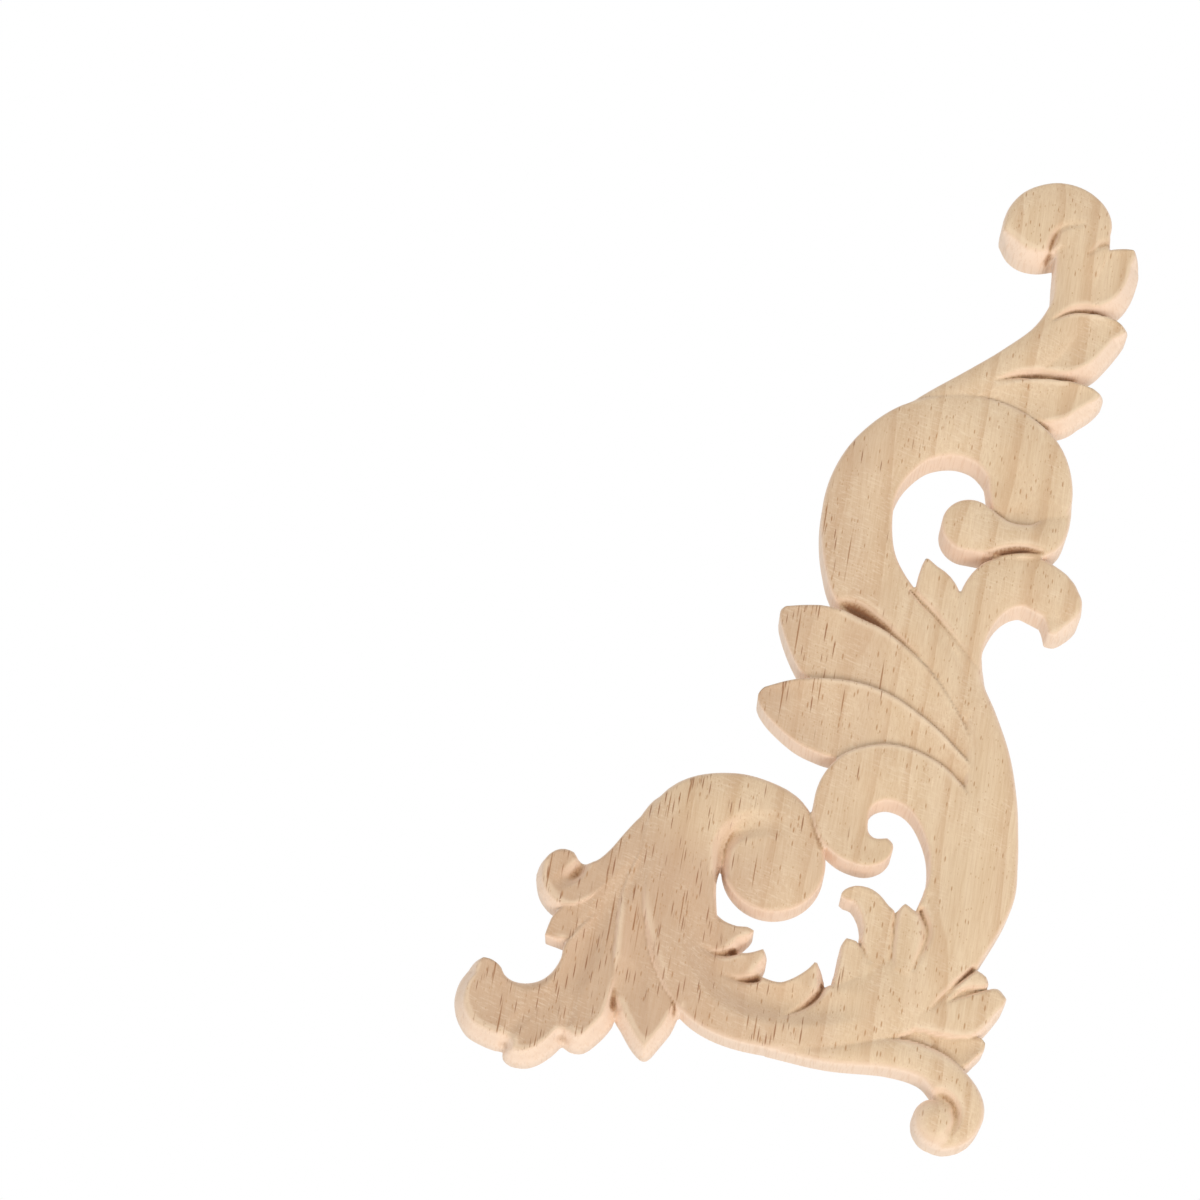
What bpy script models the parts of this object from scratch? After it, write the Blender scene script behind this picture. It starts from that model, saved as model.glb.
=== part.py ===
"""Carved wood applique: a corner ornament of scrolls and acanthus leaves in relief, flat behind.

The back lies in the plane y = 0 and the relief rises towards -Y. X runs to the right and Z up.
Every carved member is a stroke: a smooth curve through a few stations, each with a half width and
an edge height. The outline is the union of the strokes and the relief is the highest of them.
Sizes are in millimetres until the mesh is built.
"""

import bmesh
import bpy
import numpy as np

MM = 0.001

# Form of the carved members
EDGE_EASE = 1.3         # width of the eased edge of a member
EDGE_DROP = 0.8         # how far an eased edge falls, as a share of its width
FLANK_SLOPE = 2.6       # how steeply a member falls to the one it lies over
FLANK_REACH = 8.0       # how far beside a member its flank is followed
FULL_WIDTH = 3.5        # half width from which a member carries its full crown
THINNEST = 3.0          # least thickness of wood under any cut
THINNEST_STROKE = 0.05  # least half width of a stroke
STEEPEST_TAPER = 0.95   # most that a stroke widens per unit of its length

# Fineness of the solid
CELL = 1.0              # spacing of the points that follow the relief
SAMPLE = 1.4            # spacing of the samples along a stroke
FACES_KEPT = 9000       # triangles of the finished solid

# Left, right, foot and top of the area that holds the ornament
AREA = (-119.0, 51.0, -105.0, 142.0)

WOOD_COLOUR = (0.75, 0.58, 0.41, 1.0)
WOOD_ROUGHNESS = 0.72


def clear_scene():
    for leftover in list(bpy.data.objects):
        bpy.data.objects.remove(leftover)


def stroke(stations, crown=0.0, tilt=0.0, ease=EDGE_EASE):
    """Stations are (x, z, half width, edge height). Crown raises the middle, tilt the left side."""
    return {"stations": stations, "crown": crown, "tilt": tilt, "ease": ease}


def top_arm():
    """The ball at the top, its curving arm and the three leaves along the arm."""
    return [
        stroke([(-9, 78, 1.8, 8.5), (-2, 81, 3.0, 9.0), (8, 85, 4.5, 9.0), (17, 90, 5.0, 9.2),
                (25.6, 96.6, 5.0, 9.4), (31.0, 104.8, 5.0, 9.5), (32.5, 113, 5.1, 9.5),
                (34.5, 120, 6.5, 9.8), (34.0, 126, 7.6, 9.8)], crown=1.2),
        stroke([(35.5, 122.5, 6.0, 9.0), (32.4, 127.0, 9.6, 9.0), (27.8, 128.6, 10.0, 9.0),
                (23.5, 126.4, 8.3, 9.0)], crown=3.0, ease=2.4),
        stroke([(29, 103, 4.0, 9.6), (36, 109.3, 6.6, 9.8), (41, 114.0, 6.6, 9.8),
                (45.4, 118.2, 2.4, 9.6)], crown=-1.2, tilt=-1.3, ease=1.8),
        stroke([(20, 92.3, 4.0, 9.4), (29, 95.8, 5.8, 9.4), (36.3, 97.3, 5.9, 9.2),
                (41.8, 99.5, 2.4, 9.0)], crown=-1.2, tilt=-1.3, ease=1.8),
        stroke([(10, 82, 3.0, 8.8), (20, 80.2, 5.6, 9.0), (29, 80.2, 5.4, 8.8),
                (35.6, 81.8, 2.3, 8.6)], crown=-1.2, tilt=-1.3, ease=1.8),
        stroke([(29, 102.4, 1.4, 8.8), (34, 104.0, 1.8, 7.4), (39.5, 104.0, 0.9, 5.6)], ease=0.5),
        stroke([(14, 85.6, 1.4, 8.4), (23, 87.4, 2.2, 6.6), (31.0, 87.7, 1.1, 4.6)], ease=0.5),
    ]


def upper_scroll():
    """The large ribbon that rises from the middle, turns over and ends in an eye."""
    return [
        stroke([(3, 2, 4.0, 9.3), (-3, 14, 4.8, 9.0), (-10, 22.5, 6.3, 8.8), (-18.9, 31.5, 8.7, 9.0),
                (-22.0, 40, 8.5, 9.5), (-22.3, 50, 8.4, 9.5), (-20.3, 58.5, 8.1, 9.5),
                (-15.5, 66, 7.9, 9.5), (-7.5, 72, 7.8, 9.5), (2.5, 73.7, 8.0, 9.5),
                (11.5, 71, 8.7, 9.5), (17.9, 64.3, 9.7, 9.5), (19.3, 56, 9.8, 8.8),
                (18.0, 52, 7.8, 7.8)], crown=2.0, ease=1.6),
        stroke([(24.5, 64, 2.8, 8.8), (26.0, 57.5, 3.2, 9.5), (24.8, 51, 4.2, 10.3),
                (20.3, 45.6, 5.0, 10.6), (12.5, 44.9, 4.6, 10.6), (4.3, 47.8, 6.6, 10.0)],
               crown=1.5, ease=1.6),
        stroke([(11, 40.6, 0.9, 6.5), (15, 40.4, 1.4, 6.0), (19, 40.3, 0.9, 6.5)], ease=0.5),
    ]


def middle_hook():
    """The short stem that ends in a hook below the eye, and the pointed leaf beside it."""
    return [
        stroke([(2, 15, 2.0, 9.5), (-0.7, 23, 3.8, 9.4), (-3.7, 31, 4.8, 9.2), (-5.4, 36, 2.4, 9.4),
                (-6, 39, 0.6, 9.6)], crown=1.2),
        stroke([(3.6, 4, 3.0, 9.2), (2.6, 12, 3.0, 9.2), (3.6, 20, 3.6, 9.4), (6.2, 28, 5.4, 9.5),
                (11, 33, 6.6, 9.5), (17, 33.9, 6.5, 9.5), (22.2, 30.5, 6.0, 9.5),
                (24.3, 24.9, 4.4, 9.0)], crown=1.7),
    ]


def broad_leaves():
    """The two broad leaves on the left, each with its upper edge raised over the one above."""
    return [
        stroke([(4, -6, 2.2, 9.4), (-4.2, 1.4, 5.0, 9.8), (-12.6, 9.0, 7.7, 10.0), (-22, 15, 9.3, 10.0),
                (-31.0, 18.6, 9.2, 10.0), (-35.4, 22.3, 5.7, 10.0), (-38.4, 25.8, 2.2, 10.0)],
               crown=0.4, tilt=-1.3, ease=1.6),
        stroke([(4, -12, 2.0, 9.4), (-3, -7, 4.0, 9.7), (-12, -2.5, 6.5, 9.8), (-22, -0.3, 8.6, 9.8),
                (-31.5, 0.5, 9.0, 9.8), (-38.3, 2.2, 7.2, 9.6), (-42.6, 4.4, 4.2, 9.6)],
               crown=0.4, tilt=-1.3, ease=1.8),
    ]


def middle_curl():
    """The ribbon that leaves the stem under the broad leaves and curls down to the large eye."""
    return [
        stroke([(0.5, -37, 7.0, 8.6), (-2.6, -27.5, 6.7, 8.9), (-5.0, -20.2, 6.5, 9.4),
                (-10, -15.2, 6.8, 9.8), (-17, -13.6, 7.2, 10.0), (-24, -16.8, 7.5, 10.0),
                (-27.7, -23.2, 6.5, 9.6), (-25.7, -29, 6.4, 9.4), (-21.0, -31.3, 4.7, 9.4)],
               crown=0.4, tilt=-1.0, ease=1.8),
    ]


def main_scroll():
    """The main stem, which runs down the right, along the foot and up into the large eye."""
    return [
        stroke([(3.3, 14, 2.2, 9.0), (3.6, 8, 2.5, 9.2), (5.0, 0, 3.9, 9.3), (6.4, -10, 5.2, 9.4),
                (6.3, -20, 6.4, 9.4), (4.6, -28, 8.1, 9.2), (2.5, -35, 9.8, 9.0), (1.2, -42, 9.9, 9.0),
                (-4, -52, 9.2, 9.0), (-9, -60, 8.6, 9.0), (-18, -67, 8.6, 8.8),
                (-30, -70.6, 7.4, 8.6), (-45, -70.0, 7.8, 8.4), (-57, -64.8, 8.7, 8.6),
                (-63.5, -55, 8.4, 9.0), (-65, -44, 8.3, 9.4), (-65.2, -34, 9.2, 9.5),
                (-61, -25, 9.4, 9.5), (-52.5, -21, 7.7, 9.4), (-45.3, -25.5, 9.8, 9.0),
                (-44.2, -29.5, 11.2, 8.8), (-43.4, -34.0, 11.6, 8.8)], crown=2.2, ease=2.0),
    ]


def fan_of_leaves():
    """The leaves that spread to the left of the large scroll."""
    return [
        stroke([(-65.0, -28.5, 8.4, 9.2), (-74.0, -38.5, 8.0, 9.2), (-80.5, -50, 8.4, 9.1),
                (-86, -61, 7.4, 8.8)], crown=1.3, ease=2.0),
        stroke([(-65.0, -26.6, 8.9, 9.0), (-73.3, -32.6, 5.8, 9.0), (-80.8, -37.0, 4.2, 8.9),
                (-86, -39.0, 4.2, 8.8), (-91.8, -37.8, 6.2, 8.8)], crown=1.6, ease=2.2),
        stroke([(-78, -40, 6.0, 8.6), (-85, -44.5, 5.0, 8.6), (-92.2, -49.2, 3.3, 8.4)],
               crown=0.8, ease=1.8),
        stroke([(-84, -58, 6.0, 8.4), (-90, -65, 6.2, 8.5), (-95.8, -68.6, 6.5, 8.6),
                (-102.4, -69.2, 7.0, 8.6), (-107.5, -67.2, 7.4, 8.6), (-109.4, -64.2, 6.8, 8.8)],
               crown=-0.2, tilt=0.8, ease=2.4),
        stroke([(-88, -64, 6.5, 8.2), (-94, -70, 6.0, 8.3), (-100.3, -76, 4.8, 8.2)],
               crown=1.0, ease=2.8),
        stroke([(-81.4, -58, 6.0, 8.4), (-85.6, -68.6, 5.8, 8.4), (-87.8, -72.8, 4.7, 8.2)],
               crown=1.0, ease=2.8),
        stroke([(-72.0, -42, 4.0, 9.0), (-72.2, -55, 6.0, 9.2), (-72.8, -67, 7.0, 8.8),
                (-73.2, -73.5, 4.6, 8.7), (-73.2, -78.0, 1.2, 8.2)], crown=-0.6, ease=2.2),
    ]


def inner_leaves():
    """The small acanthus leaves that stand into the opening of the large scroll."""
    return [
        stroke([(-15, -67, 6.0, 8.8), (-18.5, -58, 5.6, 9.0), (-20.2, -50, 4.4, 9.2),
                (-21.8, -46.2, 4.0, 9.2), (-24.9, -43.7, 3.5, 8.8)], crown=1.2),
        stroke([(-20, -67, 5.0, 8.8), (-25.5, -60.5, 4.8, 9.0), (-27.3, -55.0, 2.4, 9.0)], crown=0.9),
        stroke([(-11.5, -60, 2.5, 9.8), (-12.8, -53, 3.0, 10.2), (-13.7, -48, 1.8, 10.0),
                (-13.8, -45.2, 0.6, 9.6)], crown=1.0),
        stroke([(-59, -51, 4.0, 8.8), (-54, -52.7, 3.2, 8.8), (-50.5, -52.1, 2.2, 8.8)], crown=1.0),
        stroke([(-58, -60, 4.0, 8.6), (-52, -60.2, 3.9, 8.8), (-48.2, -58.7, 2.8, 8.8),
                (-46.8, -56.6, 1.5, 8.8)], crown=1.0),
        stroke([(-43, -68, 4.0, 8.6), (-37.3, -65.6, 3.6, 8.8), (-34.9, -61.5, 2.2, 8.8),
                (-34.3, -58.8, 0.9, 8.8)], crown=1.0),
    ]


def corner_leaves():
    """The leaves at the lower right corner, and the thin tail that curls below them."""
    return [
        stroke([(-12, -71, 4.0, 8.8), (-4, -70.8, 5.4, 9.0), (3, -69.3, 5.4, 8.8),
                (6.9, -66.4, 2.1, 8.8)], crown=-0.8, tilt=-0.8, ease=1.8),
        stroke([(-6, -66.5, 2.5, 9.2), (-0.5, -63.7, 2.7, 9.2), (2.4, -62.3, 2.0, 8.8)], crown=0.8),
        stroke([(-17, -71, 5.0, 7.4), (-9, -75.0, 4.6, 7.0), (-3.5, -78.0, 4.0, 7.4),
                (-0.5, -78.9, 2.8, 7.6)], crown=0.0, ease=1.8),
        stroke([(-45, -76.3, 1.8, 8.0), (-32, -78.9, 2.3, 8.4), (-18, -79.1, 3.6, 8.8),
                (-9.3, -81.9, 3.8, 9.0), (-4.3, -86.8, 4.5, 8.6), (-3.2, -91.6, 5.0, 8.0),
                (-6.4, -94.2, 6.8, 7.8)], crown=1.8, ease=2.0),
    ]


def hollows():
    """Wide soft hollows. Stations are (x, z, half width, depth)."""
    return [
        # beside the large eye
        [(-55.6, -37, 2.2, 2.2), (-54.6, -30, 3.0, 2.2), (-49.5, -26.2, 3.6, 1.4), (-42, -26, 3.8, 0.4)],
        # scooped end of the upper ribbon
        [(13.5, 65, 3.0, 0.2), (16.5, 57, 5.5, 1.4), (17.5, 52, 6.0, 2.2)],
        # scooped inside of the large scroll
        [(-62, -38, 3.0, 0.1), (-59.5, -52, 5.2, 1.2), (-52, -63.5, 6.0, 1.8), (-40, -69, 5.2, 1.6),
         (-26, -71, 3.6, 0.2)],
        # flutes of the fan
        [(-73, -34, 2.5, 0.1), (-82.5, -47, 4.4, 1.1), (-89, -59, 4.6, 0.9), (-93, -65, 4.0, 0.3)],
        [(-76, -43, 2.0, 0.1), (-84.5, -59, 3.8, 1.0), (-90.5, -72, 3.4, 1.5), (-93.0, -79.5, 3.0, 1.8)],
        [(-75, -42, 1.6, 0.1), (-78.6, -56, 3.0, 1.1), (-79.9, -68, 2.8, 2.0), (-80.8, -74, 2.4, 2.4)],
        # small scroll of the fan
        [(-86.6, -34.0, 2.0, 1.6), (-89.0, -37.4, 2.4, 1.8), (-92.0, -39.0, 2.6, 0.5)],
        # neck and eye of the tail
        [(-8.8, -89.4, 1.8, 1.6), (-5.6, -90.2, 2.2, 1.8), (-4.0, -94.0, 2.0, 1.2), (-6.6, -97.0, 2.0, 0.4)],
    ]


def cuts():
    """Narrow cuts with a sharp bed. Stations are (x, z, half width, depth)."""
    return [
        # between the broad leaf and the foot of the upper ribbon
        [(-28, 29, 1.2, 0.4), (-22.5, 26.4, 2.8, 2.8), (-16, 22.0, 1.8, 1.4), (-9, 15.2, 0.8, 0.3)],
        # beside the root of the middle curl
        [(-4, -11.8, 0.9, 0.4), (1, -16.6, 1.3, 0.8), (3.6, -24, 0.7, 0.1)],
        # round the neck of the ball
        [(26.4, 115, 1.4, 1.6), (27.6, 122, 1.8, 2.0), (30.4, 127, 1.8, 1.2), (35.5, 127.4, 1.4, 0.3)],
        # beside the three small spikes of the opening
        [(-50.8, -56.3, 1.0, 3.0), (-54, -55.0, 1.5, 3.4), (-59, -52.6, 1.2, 0.4)],
        [(-46.6, -62.0, 1.0, 3.0), (-49.4, -61.4, 1.4, 2.6), (-55, -60.0, 1.2, 0.3)],
        [(-31.6, -64.0, 1.0, 3.0), (-34.4, -65.4, 1.6, 3.0), (-40.5, -69.3, 1.2, 0.5)],
        # between the long leaf of the fan and the large scroll
        [(-70.6, -44, 0.6, 0.1), (-68.6, -56, 1.6, 0.9), (-65.8, -66.6, 1.8, 1.9), (-64.4, -71, 1.8, 2.2)],
        # acanthus leaves
        [(-11.0, -46.3, 1.4, 2.2), (-10.8, -52, 1.5, 1.6), (-14, -59, 1.1, 0.4)],
        [(-16.0, -46.6, 1.0, 1.4), (-16.2, -52, 1.2, 0.9), (-17.5, -58, 1.0, 0.3)],
        [(-24.4, -53.0, 1.0, 1.8), (-22.8, -58, 1.2, 0.5)],
        # corner leaves
        [(1.2, -59.8, 1.0, 2.0), (-3.8, -64.2, 1.2, 1.6), (-8.5, -68.8, 1.0, 0.4)],
        [(4.0, -64.6, 0.9, 1.8), (-0.5, -66.4, 1.1, 1.4), (-7, -70.5, 1.0, 0.3)],
    ]


def low_grounds():
    """Low wood that joins the members where only a crevice shows between them."""
    return [
        stroke([(3, 14, 3.0, 7.5), (2.5, 2, 4.5, 7.5), (0.5, -10, 7.0, 7.5), (0, -22, 8.0, 7.5)]),
        stroke([(-25.8, 25.4, 1.5, 5.5), (-14, 16, 2.5, 7.5)]),
        stroke([(11.5, 50.5, 2.5, 7.0), (15, 48.8, 2.5, 7.0)]),
        stroke([(-34.2, -24.4, 0.9, 5.5), (-33.3, -28, 1.3, 5.0), (-32.6, -31.6, 0.7, 5.0)]),
    ]


def all_strokes():
    return (top_arm() + upper_scroll() + middle_hook() + broad_leaves() + middle_curl()
            + main_scroll() + fan_of_leaves() + inner_leaves() + corner_leaves() + low_grounds())


def smooth_curve(stations):
    """Points along a smooth curve that passes through every station."""
    known = np.array(stations, float)
    known = np.vstack([2 * known[0] - known[1], known, 2 * known[-1] - known[-2]])
    pieces = []
    for before, start, end, after in zip(known, known[1:], known[2:], known[3:]):
        count = max(2, int(np.hypot(*(end - start)[:2]) / SAMPLE))
        t = np.arange(count)[:, None] / count
        pieces.append(0.5 * (2 * start + (end - before) * t
                             + (2 * before - 5 * start + 4 * end - after) * t**2
                             + (3 * start - before - 3 * end + after) * t**3))
    return np.vstack(pieces + [known[-2:-1]])


def follow(stations, x, z):
    """For each point: depth inside the stroke, share of the way out and to the left, level and half width."""
    samples = smooth_curve(stations)
    inside = np.full(x.shape, -1e9)
    out, left, level, width = (np.zeros(x.shape) for _ in range(4))
    for start, end in zip(samples, samples[1:]):
        along_x, along_z, wider, higher = end - start
        length = np.hypot(along_x, along_z)
        dx, dz = x - start[0], z - start[1]
        aside = (along_x * dz - along_z * dx) / length
        taper = np.clip(wider / length, -STEEPEST_TAPER, STEEPEST_TAPER)
        lean = taper / np.sqrt(1 - taper**2)
        share = (dx * along_x + dz * along_z) / length**2 + np.abs(aside) * lean / length
        share = np.clip(share, 0, 1)
        half = np.maximum(start[2] + share * wider, THINNEST_STROKE)
        distance = np.hypot(dx - share * along_x, dz - share * along_z)
        nearer = half - distance > inside
        inside[nearer] = (half - distance)[nearer]
        out[nearer] = (distance / half)[nearer]
        left[nearer] = (aside / half)[nearer]
        level[nearer] = (start[3] + share * higher)[nearer]
        width[nearer] = half[nearer]
    return inside, out, left, level, width


def near(stations, x, z, reach):
    known = np.array(stations, float)
    edge = known[:, 2].max() + reach
    return ((x > known[:, 0].min() - edge) & (x < known[:, 0].max() + edge)
            & (z > known[:, 1].min() - edge) & (z < known[:, 1].max() + edge))


def relief(x, z):
    """Depth inside the outline (negative outside) and height of the carved front, for each point."""
    inside = np.full(x.shape, -FLANK_REACH)
    height = np.zeros(x.shape)
    for member in all_strokes():
        here = near(member["stations"], x, z, FLANK_REACH)
        depth, out, left, level, half = follow(member["stations"], x[here], z[here])
        share = np.clip(half / FULL_WIDTH, 0, 1)
        ease = member["ease"]
        rim = np.clip(1 - depth / ease, 0, 1)
        eased = ease * EDGE_DROP * (1 - np.sqrt(1 - rim**2))
        crown = member["crown"] * (1 - np.clip(out, 0, 1) ** 2)
        tilt = member["tilt"] * np.clip(left, -1, 1)
        top = level + (crown + tilt) * share - eased + FLANK_SLOPE * np.minimum(depth, 0)
        height[here] = np.maximum(height[here], top)
        inside[here] = np.maximum(inside[here], depth)
    for stations in hollows():
        height -= sunk(stations, x, z, lambda towards: (towards * (2 - towards)) ** 2)
    for stations in cuts():
        height -= sunk(stations, x, z, lambda towards: towards ** 1.5)
    return inside, np.maximum(height, THINNEST)


def sunk(stations, x, z, section):
    """Depth of a hollow or a cut. Section gives its share of the depth from the rim (0) to the middle (1)."""
    depth = np.zeros(x.shape)
    here = near(stations, x, z, 0)
    _, out, _, deepest, _ = follow(stations, x[here], z[here])
    depth[here] = deepest * section(1 - np.clip(out, 0, 1))
    return depth


def grid_points():
    left, right, foot, top = AREA
    columns = int(round((right - left) / CELL)) + 1
    rows = int(round((top - foot) / CELL)) + 1
    x, z = np.meshgrid(np.linspace(left, right, columns), np.linspace(foot, top, rows))
    return x, z


def grid_triangles(rows, columns):
    """Two triangles per cell, with the diagonal turned from cell to cell."""
    row, column = np.meshgrid(np.arange(rows - 1), np.arange(columns - 1), indexing="ij")
    a = (row * columns + column).ravel()
    b, c, d = a + 1, a + columns + 1, a + columns
    even = ((row + column) % 2 == 0).ravel()
    first = np.where(even[:, None], np.stack([a, b, c], 1), np.stack([a, b, d], 1))
    second = np.where(even[:, None], np.stack([a, c, d], 1), np.stack([b, c, d], 1))
    return np.vstack([first, second])


def pull_to_outline(points, inside, triangles):
    """Moves the nearer end of every edge that crosses the outline onto it, and marks the moved points."""
    edges = np.unique(np.sort(np.vstack([triangles[:, [0, 1]], triangles[:, [1, 2]],
                                         triangles[:, [2, 0]]]), axis=1), axis=0)
    crossing = edges[(inside[edges[:, 0]] > 0) != (inside[edges[:, 1]] > 0)]
    start, end = crossing[:, 0], crossing[:, 1]
    share = inside[start] / (inside[start] - inside[end])
    place = points[start] + share[:, None] * (points[end] - points[start])
    mover = np.where(share < 0.5, start, end)
    length = np.linalg.norm(place - points[mover], axis=1)
    moved = points.copy()
    for index in np.argsort(-length, kind="stable"):
        moved[mover[index]] = place[index]
    marked = np.zeros(len(points), bool)
    marked[mover] = True
    return moved, marked


def kept_triangles(points, inside, marked, triangles):
    """The triangles that lie inside the outline."""
    rated = np.where(marked, 0.0, inside)[triangles]
    keep = (rated >= 0).all(axis=1)
    rim_only = keep & (rated == 0).all(axis=1)
    middle = points[triangles[rim_only]].mean(axis=1)
    depth, _ = relief(middle[:, 0], middle[:, 1])
    keep[np.flatnonzero(rim_only)[depth <= 0]] = False
    return triangles[keep]


def carved_sheet():
    """The carved front as a sheet of triangles, without walls or back."""
    x, z = grid_points()
    triangles = grid_triangles(*x.shape)
    points = np.stack([x.ravel(), z.ravel()], axis=1)
    inside, _ = relief(points[:, 0], points[:, 1])
    points, marked = pull_to_outline(points, inside, triangles)
    triangles = kept_triangles(points, inside, marked, triangles)
    used, index = np.unique(triangles, return_inverse=True)
    return points[used], index.reshape(-1, 3)


def part_pinched_points(mesh):
    """Removes the smaller side wherever two parts of the sheet meet in a single point."""
    pinched = True
    while pinched:
        pinched = [v for v in mesh.verts if sum(e.is_boundary for e in v.link_edges) > 2]
        for vert in pinched:
            if not vert.is_valid or not vert.link_faces:
                continue
            fan = fan_round(vert)
            bmesh.ops.delete(mesh, geom=fan, context="FACES")
        loose = [v for v in mesh.verts if not v.link_faces]
        bmesh.ops.delete(mesh, geom=loose, context="VERTS")


def fan_round(vert):
    """The smallest group of faces round a point that hang together by shared edges."""
    left = set(vert.link_faces)
    fans = []
    while left:
        group, open_faces = [], [left.pop()]
        while open_faces:
            face = open_faces.pop()
            group.append(face)
            for edge in face.edges:
                if vert in edge.verts:
                    linked = [f for f in edge.link_faces if f in left]
                    left.difference_update(linked)
                    open_faces.extend(linked)
        fans.append(group)
    return min(fans, key=lambda faces: (len(faces), min(f.index for f in faces)))


def raise_relief(mesh):
    """Lifts every point of the flat sheet to the height of the carving."""
    flat = np.array([(v.co.x, v.co.z) for v in mesh.verts])
    _, height = relief(flat[:, 0], flat[:, 1])
    for vert, rise in zip(mesh.verts, height):
        vert.co.y = -rise


def add_walls_and_back(mesh):
    """Drops walls from the outline to the plane of the back and closes the back."""
    rim = [edge.link_loops[0] for edge in mesh.edges if edge.is_boundary]
    sides = [(loop.vert, loop.link_loop_next.vert) for loop in rim]
    front = list(mesh.faces)
    below = {vert: mesh.verts.new((vert.co.x, 0.0, vert.co.z)) for vert in list(mesh.verts)}
    for face in front:
        mesh.faces.new([below[vert] for vert in reversed(face.verts)])
    for start, end in sides:
        mesh.faces.new((end, start, below[start], below[end]))


def carved_mesh():
    points, triangles = carved_sheet()
    mesh = bmesh.new()
    verts = [mesh.verts.new((x, 0.0, z)) for x, z in points]
    for corners in triangles:
        mesh.faces.new([verts[i] for i in corners])
    mesh.faces.index_update()
    part_pinched_points(mesh)
    raise_relief(mesh)
    add_walls_and_back(mesh)
    bmesh.ops.scale(mesh, vec=(MM, MM, MM), verts=mesh.verts)
    return mesh


def wood():
    material = bpy.data.materials.new("rubberwood")
    material.use_nodes = True
    surface = material.node_tree.nodes["Principled BSDF"]
    surface.inputs["Base Color"].default_value = WOOD_COLOUR
    surface.inputs["Roughness"].default_value = WOOD_ROUGHNESS
    surface.inputs["Metallic"].default_value = 0.0
    return material


def carved_applique():
    mesh = carved_mesh()
    data = bpy.data.meshes.new("carved_applique")
    mesh.to_mesh(data)
    mesh.free()
    piece = bpy.data.objects.new("carved_applique", data)
    bpy.context.scene.collection.objects.link(piece)
    data.materials.append(wood())
    data.shade_smooth()
    thin = piece.modifiers.new("fewer_faces", "DECIMATE")
    thin.ratio = FACES_KEPT / len(data.polygons)
    thin.use_collapse_triangulate = True
    return piece


clear_scene()
carved_applique()
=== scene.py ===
"""Carved corner applique in unfinished rubberwood: the carved front, its edge walls and flat back,
the wood's colour with painted shade in the crevices and painted highlights, and a pale studio round it.
Lengths are in millimetres until the mesh is placed."""

import math

import bmesh
import bpy
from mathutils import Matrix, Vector
import numpy as np


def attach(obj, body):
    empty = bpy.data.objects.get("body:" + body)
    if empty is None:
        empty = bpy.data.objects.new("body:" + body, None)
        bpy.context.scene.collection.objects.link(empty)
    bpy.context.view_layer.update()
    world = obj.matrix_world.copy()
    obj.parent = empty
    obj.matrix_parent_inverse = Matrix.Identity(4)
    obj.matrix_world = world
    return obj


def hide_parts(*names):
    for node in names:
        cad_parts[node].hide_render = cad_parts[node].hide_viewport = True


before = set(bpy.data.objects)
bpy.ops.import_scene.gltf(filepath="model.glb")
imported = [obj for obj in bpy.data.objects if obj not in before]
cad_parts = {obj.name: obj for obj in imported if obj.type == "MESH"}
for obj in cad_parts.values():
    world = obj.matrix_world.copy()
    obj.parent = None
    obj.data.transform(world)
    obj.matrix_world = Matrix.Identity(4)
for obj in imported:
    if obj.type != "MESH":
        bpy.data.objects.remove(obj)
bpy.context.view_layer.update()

MM = 0.001
FAR = 1e9

# Form of the carved members
EDGE_EASE = 0.8         # width of the eased edge of a member
EDGE_DROP = 0.7         # how far an eased edge falls, as a share of its width
FLANK_SLOPE = 3.2       # how steeply a member falls to the one it lies over
FLANK_REACH = 8.0       # how far beside a member its flank is followed
BEVEL_SLOPE = 2.2       # how steeply the low edge of a leaf slopes
BEVEL_REACH = 4.0       # distance from a leaf's tip at which its low edge has its full bevel
TIP_REACH = 8.0         # distance from a leaf's tip at which its high edge is fully raised
FULL_WIDTH = 3.5        # half width from which a member carries its full crown
THINNEST = 3.0          # least thickness of wood under any cut
THINNEST_STROKE = 0.05  # least half width of a stroke
STEEPEST_TAPER = 0.95   # most that a stroke widens per unit of its length
CUT_SHARPNESS = 1.5     # power that gives a cut its sharp bed

# Fineness of the carving
CELL = 0.45             # spacing of the points that follow the relief
SAMPLE = 1.0            # spacing of the samples along a stroke
WALL_RINGS = (0.85, 0.68, 0.5, 0.3, 0.0)  # heights of the wall's rings, as shares of the edge height
AREA = (-119.0, 51.0, -105.0, 142.0)    # left, right, foot and top of the area that holds the ornament
ON_BACK = 1e-6          # metres from the plane of the back within which a face belongs to it

# Crevices and crests, which the colour follows: painted shade in the crevices, and paler crests
CREVICE_ROUNDS = 9      # how widely a point is compared with those around it
CREVICE_DEPTH = 1.1     # depth below them at which a crevice is full
CREST, CREVICE = -1, 2  # the strongest crest and the strongest crevice
RIM = 0.8               # width over which both fade in from the outline
RIM_BARE = 0.3          # share of that width that stays free of them

# The wood
GRAIN_LEAN = math.radians(10)
SANDING_LEAN = math.radians(65)
RING_SPACING = 11       # between two growth rings
RING_WAVER = 3.0        # how many rings a ring may wander
BOARD_EDGE = (-52.0, -11.0)     # where the left board ends, across the grain
BOARD_WAVER = 12.0      # how far that edge wanders to either side
# a painted highlight pales the left board on the crown of the large scroll
LIT_CROWN = (-55, -9, -17)     # crown of the large scroll
SMALLEST_PORE = 0.45    # the smallest pore of a layer, as a share of the largest
PORE_EDGE = (0.55, 1.15)        # how soft a pore's edge is, as shares of its size
ROUGHNESS = 0.68
IOR = 1.5
BUMP = 0.12             # depth of the open pores and raised fibres

# The photograph's view
LENS = 105
FILM_WIDTH = 36
VIEW_RISE = math.radians(20.5)  # how steeply the camera looks up
VIEW_LENGTH = 831.25    # from the camera to the plane of the back
VIEW_POINT = (-83.16, 32.51)    # x and z of the point in that plane that it looks at

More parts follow.
